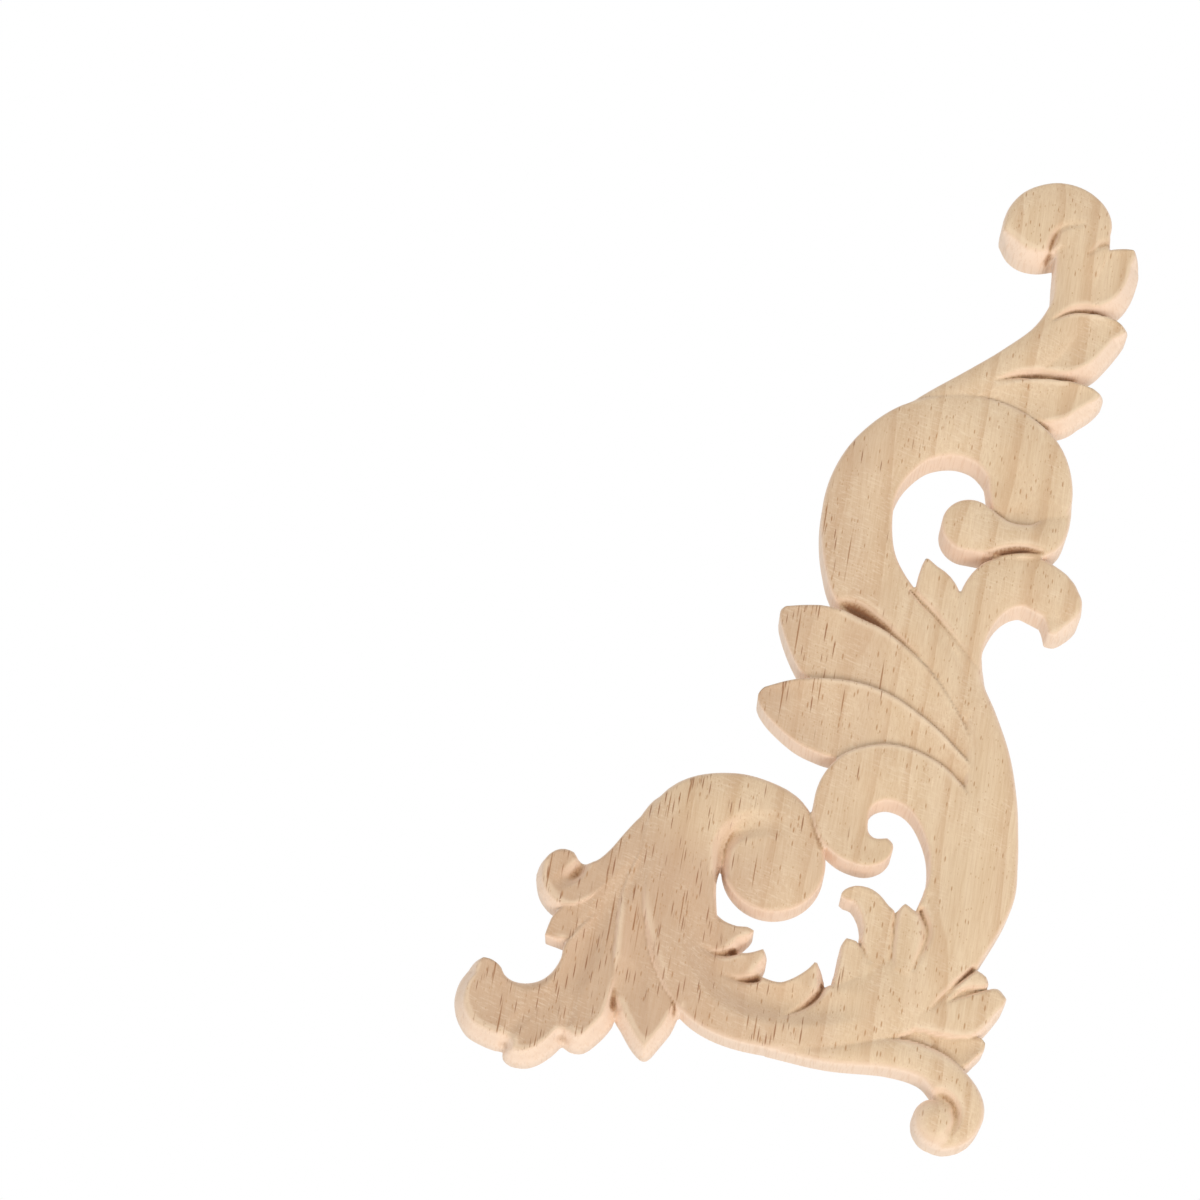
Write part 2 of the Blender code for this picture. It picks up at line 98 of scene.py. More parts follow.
# The studio, in metres
FLOOR_SIZE = 60
FLOOR_DROP = 2.4
SKY_GLOW = (1.0, 0.72)  # light from just below the horizon and from overhead
KEY_PLACE = (0.35, -1.9, -2.1)
KEY_AIM = (-0.03, 0, 0)
KEY_SIZE = 1.6
KEY_POWER = 44.0


def stroke(stations, crown=0.0, ease=EDGE_EASE):
    """Stations are (x, z, half width, edge height). Crown raises the middle, ease is the width of the
    eased edge."""
    return {"stations": stations, "crown": crown, "ease": ease}


def blade(high, low, levels, hollow=0.0, bevel=0.0):
    """A leaf between two edges, each drawn as (x, z) from root to tip. Levels are the heights of the
    high and the low edge, hollow the depth between them and bevel the width of the low edge's slope."""
    return {"high": high, "low": low, "levels": levels, "hollow": hollow, "bevel": bevel}


def top_arm():
    """The ball at the top, its curving arm and the three leaves along the arm."""
    return [
        stroke([(-9, 78, 1.8, 7.6), (-2, 81, 3.0, 8.0), (8, 85, 4.5, 8.3), (17, 90, 5.0, 8.5),
                (25.6, 96.6, 5.0, 8.6), (31.0, 104.8, 5.0, 8.7), (32.5, 113, 5.1, 8.8),
                (34.5, 120, 6.5, 9.2), (34.0, 126, 7.6, 9.4)], crown=1.3),
        blade([(40.5, 121), (42.1, 127), (40.8, 132), (37, 136.2), (32, 138.4), (27, 138.5),
               (21.5, 136.5), (17.6, 132.6), (15.5, 128), (15.2, 125.4)],
              [(34, 118), (31, 119), (27.5, 118.4), (24, 118.0), (20, 118.9), (17, 121.4),
               (15.2, 125.4)], (9.2, 9.6), -1.2, 1.9),
        blade([(31, 108), (33, 113), (37, 118), (41, 120.2), (45, 120.6), (47.2, 120.3)],
              [(27, 99), (34, 101.5), (40, 103.3), (44, 106), (46.7, 109.7), (48.3, 113.6),
               (48.8, 116.5), (48.2, 119), (47.2, 120.3)], (9.4, 9.4), 0.6, 2.8),
        blade([(20, 95), (25, 99.5), (28, 101.2), (31, 102.5), (34, 103.1), (37, 103), (40, 102.3),
               (42, 101.3), (43.2, 100.2)],
              [(14, 83), (20, 83.8), (27, 85), (32, 86.3), (36.3, 88.5), (39.4, 91.5), (42.4, 95.1),
               (44.6, 98.2), (44.6, 99.4), (43.2, 100.2)], (9.7, 9.2), 0.9, 2.5),
        blade([(4, 80), (8, 82.5), (12, 84.2), (15, 85.1), (20, 85.8), (25, 85.8), (30, 85.3),
               (33, 84.6), (35.5, 83.6)],
              [(8, 76), (16, 75), (22, 73.2), (27.2, 73.6), (30.3, 74.8), (32.3, 76.3), (34.8, 77.9),
               (37.4, 80.4), (38.2, 82), (37.4, 83.2), (35.5, 83.6)], (9.6, 8.8), 0.9, 2.3),
    ]


def upper_scroll():
    """The large ribbon that rises from the middle, turns over and ends in an eye."""
    return [
        stroke([(3, 2, 4.0, 9.3), (-3, 14, 4.8, 9.0), (-10, 22.5, 6.3, 8.8), (-18.9, 31.5, 8.7, 9.0),
                (-22.0, 40, 8.5, 9.5), (-22.3, 50, 8.4, 9.5), (-20.3, 58.5, 8.1, 9.5),
                (-15.5, 66, 7.9, 9.5), (-7.5, 72, 7.8, 9.5), (2.5, 73.7, 8.0, 9.5),
                (11.5, 71, 8.7, 9.5), (17.9, 64.3, 9.7, 9.5), (19.3, 56, 9.8, 9.0),
                (18.0, 52, 7.8, 8.2)], crown=1.2, ease=1.0),
        stroke([(26.6, 57.0, 1.8, 6.8), (26.4, 52.0, 2.4, 7.8), (22.6, 45.4, 4.2, 9.6),
                (18.5, 43.6, 4.2, 10.5), (11.5, 44.4, 4.6, 10.6), (4.3, 47.8, 6.6, 10.0)],
               crown=1.0, ease=0.9),
        stroke([(11, 40.6, 0.9, 6.5), (15, 40.4, 1.4, 6.0), (19, 40.3, 0.9, 6.5)], ease=0.5),
    ]


def middle_hook():
    """The short stem that ends in a hook below the eye, and the pointed leaf beside it."""
    return [
        stroke([(2, 15, 2.0, 9.5), (-0.7, 23, 3.8, 9.4), (-3.7, 31, 4.8, 9.2), (-5.4, 36, 2.4, 9.4),
                (-6, 39, 0.6, 9.6)], crown=0.8),
        stroke([(3.6, 4, 3.0, 9.2), (2.6, 12, 3.0, 9.2), (3.6, 20, 3.6, 9.4), (6.2, 28, 5.4, 9.5),
                (11, 33, 6.6, 9.5), (17, 33.9, 6.5, 9.5), (22.2, 31.2, 6.2, 9.5),
                (24.8, 28.4, 5.2, 9.3)], crown=1.0),
        blade([(17, 33), (20.0, 26.5), (21.2, 23.4), (21.6, 20.7)],
              [(28, 34), (29.6, 29.5), (29.9, 26.8), (29.3, 24.3), (27, 21.9), (23.9, 20.2),
               (21.6, 20.7)], (9.4, 9.0), -0.5, 1.5),
    ]


def broad_leaves():
    """The two broad leaves on the left, each with its upper edge raised over the one above."""
    return [
        blade([(4.5, -14), (3.5, -9), (2, -4.5), (0, 0.5), (-5, 9.3), (-10, 15.3), (-16, 21),
               (-20, 23.5), (-25, 25.9), (-30, 27.3), (-35, 27.9), (-39.5, 28)],
              [(3, -17), (-3, -8), (-10, -1), (-20, 5), (-30, 7.5), (-35.5, 10.8), (-37.6, 14),
               (-39.7, 19.5), (-40.9, 24.5), (-40.7, 27), (-39.5, 28)], (10.5, 8.6), 0.5),
        blade([(4, -16), (2, -11.5), (0, -9), (-5, -3.2), (-10, 1.2), (-15, 4.9), (-20, 7.3), (-25, 8.7),
               (-30, 9.3), (-35, 9.4), (-40, 8.9), (-45, 7.8)],
              [(3, -19), (-5, -15), (-15, -12), (-24, -10.5), (-29.5, -9.5), (-33, -8.3), (-38, -5.6),
               (-43.3, -0.6), (-46.0, 3.4), (-46.4, 6), (-45, 7.8)], (10.6, 8.8), 0.8),
    ]


def middle_curl():
    """The ribbon that leaves the stem under the broad leaves and curls down to the large eye."""
    return [
        blade([(4, -24), (1, -18), (-3, -13), (-7, -10), (-12, -7.6), (-17, -6.7), (-22, -7.3), (-27, -9.2),
               (-31, -13), (-33.5, -18), (-34.3, -24), (-33.0, -29), (-30.3, -32.4), (-27, -34.7),
               (-22.5, -36), (-18.6, -35), (-16.4, -32.6), (-16.2, -30.4), (-17.4, -29.0)],
              [(-4, -48), (-9.3, -43), (-8.4, -39.4), (-7.9, -35.8), (-8.0, -32.1), (-8.6, -29.3),
               (-9.6, -26.4), (-11.1, -23.5), (-13.4, -21.2), (-16.8, -20), (-19.8, -20.8),
               (-21.1, -22.4), (-21.6, -24.5), (-21.8, -27), (-21.1, -28.4), (-19.8, -29.1),
               (-17.4, -29.0)], (10.4, 9.3), -0.3),
    ]


def main_scroll():
    """The main stem, which runs down the right, along the foot and up into the large eye."""
    return [
        stroke([(3.3, 14, 2.2, 9.0), (3.6, 8, 2.5, 9.2), (5.0, 0, 3.9, 9.3), (6.4, -10, 5.2, 9.4),
                (6.3, -20, 6.4, 9.4), (4.6, -28, 8.1, 9.2), (2.5, -35, 9.8, 9.0), (1.2, -42, 9.9, 9.0),
                (-4, -52, 9.2, 9.0), (-9, -60, 8.6, 9.0), (-18, -67, 8.6, 8.8),
                (-30, -70.6, 7.4, 8.6), (-45, -70.0, 7.8, 8.4), (-57, -64.8, 8.7, 8.6),
                (-63.5, -55, 8.4, 9.0), (-65, -44, 8.3, 9.4), (-65.2, -33.6, 9.5, 9.5),
                (-61.2, -24.7, 9.8, 9.5), (-52.5, -21, 7.7, 9.4), (-45.3, -25.5, 9.8, 9.0),
                (-44.2, -29.7, 11.3, 8.8), (-43.4, -34.6, 11.8, 8.8)], crown=1.4, ease=1.2),
    ]


def fan_of_leaves():
    """The leaves that spread to the left of the large scroll."""
    return [
        stroke([(-65.0, -28.5, 8.4, 9.2), (-74.0, -38.5, 8.0, 9.0), (-80.5, -50, 7.4, 8.0),
                (-83, -56, 6.0, 7.2)], crown=0.6, ease=1.2),
        stroke([(-65.0, -26.6, 8.9, 9.0), (-73.3, -32.6, 5.8, 9.0), (-80.0, -37.0, 4.4, 8.8)],
               crown=0.6, ease=1.2),
        # small scroll
        blade([(-64, -21), (-69.2, -20.0), (-73.8, -23.7), (-77.6, -27.8), (-80.6, -31.4), (-83.7, -34.1),
               (-86.3, -34.7), (-88.2, -33.8), (-89.1, -32.3), (-91.2, -31.5), (-93.2, -31.8),
               (-94.8, -32.9)],
              [(-78, -39), (-83, -43), (-86.5, -45.2), (-90, -46.2), (-93.7, -45.2), (-96.5, -42.2),
               (-97.6, -39.2), (-97.7, -36.6), (-96.6, -34.4), (-94.8, -32.9)], (9.0, 9.5), 0.3, 1.7),
        # small pointed lobe
        blade([(-80, -38), (-86, -42), (-91, -44.6), (-93.6, -46.6), (-94.9, -49.2), (-95.7, -51.6)],
              [(-80, -50), (-86, -53), (-90.5, -53.4), (-93, -52.6), (-95.7, -51.6)], (8.4, 8.2), 0.3, 1.0),
        # broad lobed leaf that ends in a hook
        blade([(-72, -34), (-80, -42), (-87.5, -49.5), (-91.2, -54), (-92, -57), (-94, -60),
               (-96.6, -61.9), (-100, -62.6), (-103, -62.2), (-104.8, -60.9), (-105.5, -59.3),
               (-106.8, -58.0), (-108.1, -57.3), (-109.5, -57.0)],
              [(-72, -46), (-77, -60), (-79.9, -69.8), (-81, -72), (-83, -74.3), (-86, -76.8),
               (-88, -77.4), (-90, -77), (-91.5, -75.9), (-92.2, -76.0), (-94, -77.8), (-97, -79.8),
               (-100, -80.7), (-103.4, -80.2), (-105.2, -78.6), (-105.1, -77.0), (-107, -76.6),
               (-110, -75.4), (-113.5, -73.2), (-115.6, -69.6), (-116.2, -66.5), (-115.9, -64.0),
               (-114.9, -61.2), (-112.7, -58.4), (-111.2, -57.3), (-109.5, -57.0)], (8.8, 9.4), 1.0, 2.6),
        # pointed leaf
        blade([(-74, -32), (-77.9, -41), (-79.2, -50.3), (-80.0, -58.7), (-80.1, -64.5)],
              [(-68, -40), (-67, -56), (-65, -67.6), (-65.6, -69.4), (-67.2, -72.8), (-70, -76.3),
               (-72, -78.6), (-73.5, -79.1), (-75, -78), (-76.6, -75.8), (-78.4, -72.4),
               (-79.9, -69.4), (-80.1, -64.5)], (10.2, 8.0), 0.9, 2.0),
        # ridge between the pointed leaf and the large scroll
        stroke([(-72.0, -34.0, 0.9, 9.8), (-72.0, -40.0, 1.3, 10.3), (-71.6, -46.0, 1.6, 10.5),
                (-69.8, -53.5, 1.6, 10.2), (-67.9, -60.3, 1.4, 9.8), (-66.0, -65.4, 0.9, 8.8)], ease=1.4),
    ]


def inner_leaves():
    """The small acanthus leaves that stand into the opening of the large scroll."""
    return [
        # the leaf with a hooked head, and the two beside it
        blade([(-13, -66), (-14.2, -56), (-15.2, -50), (-15.9, -46.8), (-17.5, -45.1), (-19.5, -42.5),
               (-22, -40.8), (-25, -40.3), (-27.5, -41.2), (-28.4, -42.5)],
              [(-25, -68), (-24.8, -58), (-24.2, -52), (-23.8, -50), (-24.3, -46.8), (-25.7, -44.2),
               (-27.4, -43.5), (-28.4, -42.5)], (9.6, 9.2), 0.3, 0.8),
        blade([(-18, -66), (-21.5, -58), (-24.2, -54), (-25.5, -53), (-27.3, -52.4)],
              [(-30, -71), (-31.0, -64), (-30.0, -60), (-29.3, -57), (-28.6, -54.2), (-27.3, -52.4)],
              (9.4, 8.8), 0.3, 0.8),
        blade([(-13, -62), (-10.4, -54), (-10.4, -49), (-11.7, -46.4), (-13.8, -44.5)],
              [(-17.5, -60), (-17, -52), (-16.3, -48), (-15.4, -46), (-13.8, -44.5)], (10.3, 9.6), -0.5, 0.8),
        # the three spikes
        blade([(-60, -44), (-57.6, -46), (-55, -48.4), (-52, -49.7), (-49.8, -49.9), (-48.1, -50.9)],
              [(-62, -58), (-57, -57.5), (-52.8, -55.8), (-51, -54), (-49.2, -52.4), (-48.1, -50.9)],
              (8.8, 9.4), 0.3, 2.0),
        blade([(-60, -56), (-55, -56), (-52.5, -55.8), (-50, -56), (-47.8, -55.6), (-46.2, -55.1)],
              [(-60, -65), (-53, -64), (-47.7, -62), (-46.1, -59.5), (-45.3, -57), (-46.2, -55.1)],
              (8.8, 9.4), 0.3, 2.0),
        blade([(-48, -70), (-46, -62.9), (-42, -62.6), (-39, -61.5), (-36, -59.6), (-34.3, -57.8)],
              [(-42, -74), (-36, -68.5), (-32.4, -64.4), (-32.8, -60.6), (-34.3, -57.8)],
              (8.8, 9.4), 0.3, 2.0),
    ]


def corner_leaves():
    """The leaves at the lower right corner, and the thin tail that curls below them."""
    return [
        blade([(-14, -69), (-6, -67.6), (-1, -66.2), (3.8, -64.7), (6.5, -64.3), (8.5, -66.6)],
              [(-14, -74), (-6, -75.5), (-1, -76), (2, -75), (4.4, -72.9), (6, -71), (7.7, -68.8),
               (8.5, -66.6)], (9.3, 8.8), -0.4, 1.0),
        blade([(-10, -66), (-4, -63.0), (0, -60.8), (2.2, -60.2), (4.1, -61.6)],
              [(-10, -69), (-4, -66), (0, -64.7), (3.6, -64.4), (4.6, -63.2), (4.1, -61.6)],
              (9.7, 9.0), -0.5, 0.8),
        blade([(-10, -74.5), (-4, -75.6), (0, -75.6), (2.2, -75.3), (3.3, -76.7)],
              [(-10, -80), (-3, -82.4), (-0.6, -82), (1, -80.5), (2.9, -78.6), (3.3, -76.7)],
              (7.0, 8.6), 0.8, 0.8),
        stroke([(-45, -76.3, 1.8, 7.6), (-32, -78.9, 2.3, 8.2), (-18, -79.1, 3.6, 9.0),
                (-9.3, -81.9, 3.8, 9.4), (-4.3, -86.8, 4.5, 9.0), (-1.7, -91.6, 4.3, 8.6),
                (-3.4, -95.8, 3.9, 8.0), (-6.6, -97.8, 2.9, 7.2), (-9.0, -98.0, 1.9, 6.6)],
               crown=1.0, ease=1.6),
        stroke([(-7.4, -96.6, 3.4, 7.8), (-8.2, -95.0, 5.0, 7.9), (-8.5, -94.0, 5.0, 8.0)],
               crown=2.4, ease=2.4),
    ]


def hollows():
    """Wide soft hollows. Stations are (x, z, half width, depth)."""
    return [
        # beside the large eye
        [(-55.6, -37, 2.2, 2.2), (-54.6, -30, 3.0, 2.2), (-49.5, -26.2, 3.6, 1.4), (-42, -26, 3.8, 0.4)],
        # scooped end of the upper ribbon
        [(13.5, 65, 3.0, 0.2), (16.5, 57, 5.5, 0.9), (17.5, 52, 6.0, 1.2)],
        # scooped inside of the large scroll
        [(-62, -38, 3.0, 0.1), (-60.5, -52, 6.0, 1.7), (-53, -63.5, 6.6, 2.6), (-40, -68.0, 5.6, 2.4),
         (-24, -69, 3.6, 0.2)],
        # flutes of the fan
        [(-73, -34, 2.5, 0.1), (-82.5, -47, 4.4, 1.3), (-88.5, -59, 4.8, 1.3), (-92, -66, 4.2, 0.5)],
        [(-75.6, -46, 1.6, 0.1), (-75.4, -58, 3.4, 0.9), (-74.4, -68, 3.2, 0.7), (-73.8, -74, 1.6, 0.1)],
        # between the lobes of the fan
        [(-91.7, -76.4, 2.0, 1.0), (-90.6, -71, 2.2, 0.8), (-89, -65, 2.0, 0.1)],
        [(-105.4, -77.6, 1.8, 0.8), (-102.5, -72.5, 2.4, 0.6), (-98.5, -68.5, 2.0, 0.1)],
        # small scroll of the fan
        [(-86.6, -34.0, 2.0, 1.8), (-88.8, -37.0, 2.4, 2.4), (-92.0, -39.0, 2.6, 0.6)],
        # neck and eye of the tail
        [(-9.6, -88.4, 1.2, 1.0), (-6.6, -88.6, 1.6, 1.8), (-4.2, -91.0, 1.5, 1.8), (-4.0, -95.0, 1.4, 1.0),
         (-6.6, -98.0, 1.4, 0.3)],
    ]


def cuts():
    """Narrow cuts with a sharp bed. Stations are (x, z, half width, depth)."""
    return [
        # between the broad leaf and the foot of the upper ribbon
        [(-28, 29, 1.2, 0.4), (-22.5, 26.4, 2.8, 2.8), (-16, 22.0, 1.8, 1.4), (-9, 15.2, 0.8, 0.3)],
        # between the foot of the upper ribbon and the pointed leaf beside it
        [(-10.0, 31.8, 0.9, 1.4), (-4.9, 25.5, 1.3, 1.4), (0.0, 18.8, 1.2, 1.0), (4.6, 12.2, 0.8, 0.3)],
        # round the neck of the ball
        [(26.2, 113.4, 1.2, 1.4), (26.2, 118.6, 1.5, 2.0), (27.8, 123.6, 1.5, 1.5), (30.2, 126.0, 1.5, 0.8),
         (35.0, 126.6, 1.4, 0.3)],
        # above the leaves of the arm
        [(36.0, 118.8, 0.8, 0.4), (39.3, 121.4, 1.7, 1.0), (42.2, 122.0, 1.5, 0.8)],
        [(26.5, 101.4, 0.8, 0.5), (31, 103.7, 1.3, 2.2), (36, 104.4, 1.6, 2.6), (40, 103.7, 1.2, 1.2)],
        [(12, 85.5, 0.8, 0.5), (18, 87.0, 1.3, 2.2), (25, 87.3, 1.6, 2.8), (31, 86.7, 1.4, 1.8)],
        # under the eye of the upper ribbon
        [(5, 38.8, 0.8, 0.6), (10, 40.4, 1.4, 2.2), (16, 41.2, 1.5, 2.6), (21, 40.6, 1.0, 1.0)],
        # beside the small leaves of the opening
        [(-10.2, -46.0, 1.2, 2.0), (-9.0, -52, 1.5, 1.4), (-12.5, -60, 1.1, 0.4)],
        [(-16.0, -46.8, 0.8, 1.4), (-16.6, -52, 1.0, 0.8), (-17.5, -58, 0.9, 0.3)],
        [(-24.2, -53.4, 0.9, 1.6), (-22.4, -58, 1.1, 0.5)],
        [(-52.2, -55.4, 1.3, 3.2), (-54.4, -55.8, 1.5, 2.4), (-57.5, -55.6, 1.1, 1.0), (-61, -54, 0.9, 0.2)],
        [(-47.4, -61.6, 1.2, 3.0), (-49.6, -61.9, 1.4, 2.2), (-52.5, -61.6, 1.0, 0.9),
         (-56, -60.4, 0.9, 0.2)],
        [(-32.4, -63.0, 1.2, 2.6), (-34.2, -65.8, 1.5, 2.4), (-37.2, -68.2, 1.2, 1.2),
         (-41.5, -70.4, 1.0, 0.3)],
        # lip inside the hook of the fan
        [(-91.6, -55, 0.6, 0.3), (-93.6, -59.4, 1.6, 1.2), (-96.8, -61.8, 2.3, 1.7),
         (-100, -62.4, 2.5, 1.7), (-102.8, -61.6, 1.8, 1.2), (-104.6, -60.0, 0.7, 0.3)],
        # corner leaves
        [(1.2, -59.8, 1.0, 2.0), (-3.8, -64.2, 1.2, 1.6), (-8.5, -68.8, 1.0, 0.4)],
    ]


def low_grounds():
    """Low wood that joins the members where only a crevice shows between them."""
    return [
        stroke([(3, 14, 3.0, 7.5), (2.5, 2, 4.5, 7.5), (0.5, -10, 7.0, 7.5), (0, -22, 8.0, 7.5)]),
        stroke([(-25.8, 25.4, 1.5, 5.5), (-14, 16, 2.5, 7.5)]),
        stroke([(11.5, 50.5, 2.5, 7.0), (15, 48.8, 2.5, 7.0)]),
        stroke([(-34.2, -24.4, 0.9, 5.5), (-33.3, -28, 1.3, 5.0), (-32.6, -31.6, 0.7, 5.0)]),
        stroke([(-14, -75.8, 1.4, 6.8), (-9.5, -77.6, 1.6, 6.6), (-4.8, -80.0, 1.5, 6.2),
                (-2.2, -82.4, 0.8, 5.6)]),
        stroke([(-24, -75.2, 1.2, 7.8), (-17, -75.4, 2.0, 7.8), (-10, -76.2, 1.8, 7.4)]),
        stroke([(-9, -67.6, 1.4, 8.6), (-2, -65.6, 1.4, 8.2), (3.2, -64.6, 0.9, 7.4)]),
    ]


def shaded_places():
    """Where painted brown shade goes in crevices and pockets, which also hold furry torn fibres. Stations are
    (x, z, half width, strength).
    """
    return [
        # neck of the ball, and above the first leaf of the arm
        [(26.2, 113.4, 1.2, 0.4), (26.2, 118.6, 1.6, 0.6), (27.8, 123.6, 1.4, 0.4)],
        [(37.4, 120.4, 1.0, 0.2), (40.8, 122.2, 1.9, 0.5)],
        # under the eye of the upper ribbon, and at the foot of that ribbon
        [(6, 39.4, 1.2, 0.4), (11, 40.8, 1.5, 0.9), (16, 41.2, 1.5, 0.9), (21, 40.6, 1.2, 0.4)],
        [(-27, 29, 1.0, 0.4), (-22.5, 26.6, 2.4, 1.1), (-16, 22, 1.4, 0.5)],
        # both sides of the large eye
        [(-56, -39, 1.6, 1.1), (-55.8, -34.5, 1.5, 0.5), (-54.5, -31, 1.2, 0.1)],
        [(-34.4, -24.5, 0.8, 0.4), (-33.4, -28.5, 0.9, 0.4), (-32.8, -31.5, 0.9, 0.5)],
        # pockets of the three spikes
        [(-52.8, -55.3, 1.4, 1.3), (-56, -55.4, 1.1, 0.3)],
        [(-47.8, -61.5, 1.4, 1.3), (-51, -61.6, 1.1, 0.3)],
        [(-32.8, -63.4, 1.3, 1.1), (-36, -67, 1.2, 0.7), (-40, -69.6, 0.9, 0.1)],
        # small scroll and notches of the fan, and the corner leaves
        [(-87.2, -34.4, 1.3, 0.2), (-88.4, -36.6, 1.6, 0.5), (-90.4, -38.2, 1.3, 0.2)],
        [(-80.4, -67.4, 1.5, 0.8), (-80, -63, 1.0, 0.1)],
        [(-66, -67.2, 1.5, 0.7), (-67.5, -63, 1.0, 0.1)],
        [(0.8, -60.0, 1.4, 0.8), (-2.5, -63, 1.0, 0.2)],
    ]


def all_members():
    return (top_arm() + upper_scroll() + middle_hook() + broad_leaves() + middle_curl()
            + main_scroll() + fan_of_leaves() + inner_leaves() + corner_leaves() + low_grounds())


def smooth_curve(stations):
    """Points along a smooth curve that passes through every station."""
    known = np.array(stations, float)
    known = np.vstack([2 * known[0] - known[1], known, 2 * known[-1] - known[-2]])
    pieces = []
    for before, start, end, after in zip(known, known[1:], known[2:], known[3:]):
        count = max(2, int(np.hypot(*(end - start)[:2]) / SAMPLE))
        t = np.arange(count)[:, None] / count
        pieces.append(0.5 * (2 * start + (end - before) * t
                             + (2 * before - 5 * start + 4 * end - after) * t**2
                             + (3 * start - before - 3 * end + after) * t**3))
    return np.vstack(pieces + [known[-2:-1]])


def follow(stations, x, z):
    """For each point: depth inside the stroke, share of the way out, level and half width."""
    samples = smooth_curve(stations)
    inside = np.full(x.shape, -FAR)
    out, level, width = (np.zeros(x.shape) for _ in range(3))
    for start, end in zip(samples, samples[1:]):
        along_x, along_z, wider, higher = end - start
        length = np.hypot(along_x, along_z)
        dx, dz = x - start[0], z - start[1]
        aside = (along_x * dz - along_z * dx) / length
        taper = np.clip(wider / length, -STEEPEST_TAPER, STEEPEST_TAPER)
        lean = taper / np.sqrt(1 - taper**2)
        share = (dx * along_x + dz * along_z) / length**2 + np.abs(aside) * lean / length
        share = np.clip(share, 0, 1)
        half = np.maximum(start[2] + share * wider, THINNEST_STROKE)
        distance = np.hypot(dx - share * along_x, dz - share * along_z)
        nearer = half - distance > inside
        inside[nearer] = (half - distance)[nearer]
        out[nearer] = (distance / half)[nearer]
        level[nearer] = (start[3] + share * higher)[nearer]
        width[nearer] = half[nearer]
    return inside, out, level, width


def distance_to(line, x, z):
    """Distance of each point from a line of many short stretches."""
    nearest = np.full(x.shape, FAR)
    for (x0, z0), (x1, z1) in zip(line, line[1:]):
        along_x, along_z = x1 - x0, z1 - z0
        share = ((x - x0) * along_x + (z - z0) * along_z) / (along_x**2 + along_z**2)
        share = np.clip(share, 0, 1)
        nearest = np.minimum(nearest, np.hypot(x - x0 - share * along_x, z - z0 - share * along_z))
    return nearest


def within(outline, x, z):
    """Whether each point lies inside a closed outline."""
    crossings = np.zeros(x.shape, bool)
    for (x0, z0), (x1, z1) in zip(outline, np.roll(outline, -1, axis=0)):
        if z0 != z1:
            level_with = (z0 <= z) != (z1 <= z)
            crossings ^= level_with & (x < x0 + (z - z0) / (z1 - z0) * (x1 - x0))
    return crossings


def near(stations, x, z, reach):
    """Which points lie in the box round the stations, widened by the reach."""
    known = np.array(stations, float)
    return ((x > known[:, 0].min() - reach) & (x < known[:, 0].max() + reach)
            & (z > known[:, 1].min() - reach) & (z < known[:, 1].max() + reach))


def eased(depth, ease):
    """How far an eased edge has fallen at a depth inside it."""
    rim = np.clip(1 - depth / ease, 0, 1)
    return ease * EDGE_DROP * (1 - np.sqrt(1 - rim**2))


def stroke_relief(member, x, z):
    """Depth inside a stroke and height of its surface, for each point."""
    depth, out, level, half = follow(member["stations"], x, z)
    share = np.clip(half / FULL_WIDTH, 0, 1)
    crown = member["crown"] * (1 - np.clip(out, 0, 1) ** 2)
    return depth, level + crown * share - eased(depth, member["ease"])


def blade_relief(member, x, z):
    """Depth inside a leaf and height of its surface, for each point."""
    high, low = smooth_curve(member["high"]), smooth_curve(member["low"])
    outline = np.vstack([high, low[-2::-1]])
    to_high, to_low = distance_to(high, x, z), distance_to(low, x, z)
    edge = np.minimum(distance_to(np.vstack([outline, outline[:1]]), x, z), FLANK_REACH)
    depth = np.where(within(outline, x, z), edge, -edge)
    across = to_high / np.maximum(to_high + to_low, 1e-6)
    first, last = member["levels"]
    tip_x, tip_z = member["high"][-1]
    to_tip = np.hypot(x - tip_x, z - tip_z)
    raised = (first - last) * np.clip(to_tip / TIP_REACH, 0, 1)
    surface = last + raised * (1 - across) - 4 * member["hollow"] * across * (1 - across)
    bevel = member["bevel"] * np.clip(to_tip / BEVEL_REACH, 0, 1)
    slope = BEVEL_SLOPE * np.clip(bevel - to_low, 0, None)
    return depth, surface - slope - eased(depth, EDGE_EASE)


def relief(x, z):
    """Depth inside the outline (negative outside) and height of the carved front, for each point."""
    inside = np.full(x.shape, -FLANK_REACH)
    height = np.zeros(x.shape)
    for member in all_members():
        if "high" in member:
            here = near(member["high"] + member["low"], x, z, FLANK_REACH)
            depth, top = blade_relief(member, x[here], z[here])
        else:
            widest = max(station[2] for station in member["stations"])
            here = near(member["stations"], x, z, FLANK_REACH + widest)
            depth, top = stroke_relief(member, x[here], z[here])
        top = top + FLANK_SLOPE * np.minimum(depth, 0)
        height[here] = np.maximum(height[here], top)
        inside[here] = np.maximum(inside[here], depth)
    for stations in hollows():
        height -= sunk(stations, x, z, lambda towards: (towards * (2 - towards)) ** 2)
    for stations in cuts():
        height -= sunk(stations, x, z, lambda towards: towards ** CUT_SHARPNESS)
    return inside, np.maximum(height, THINNEST)


def sunk(stations, x, z, section):
    """Depth of a hollow or a cut. Section gives its share of the depth from the rim (0) to the middle (1)."""
    depth = np.zeros(x.shape)
    here = near(stations, x, z, max(station[2] for station in stations))
    _, out, deepest, _ = follow(stations, x[here], z[here])
    depth[here] = deepest * section(1 - np.clip(out, 0, 1))
    return depth


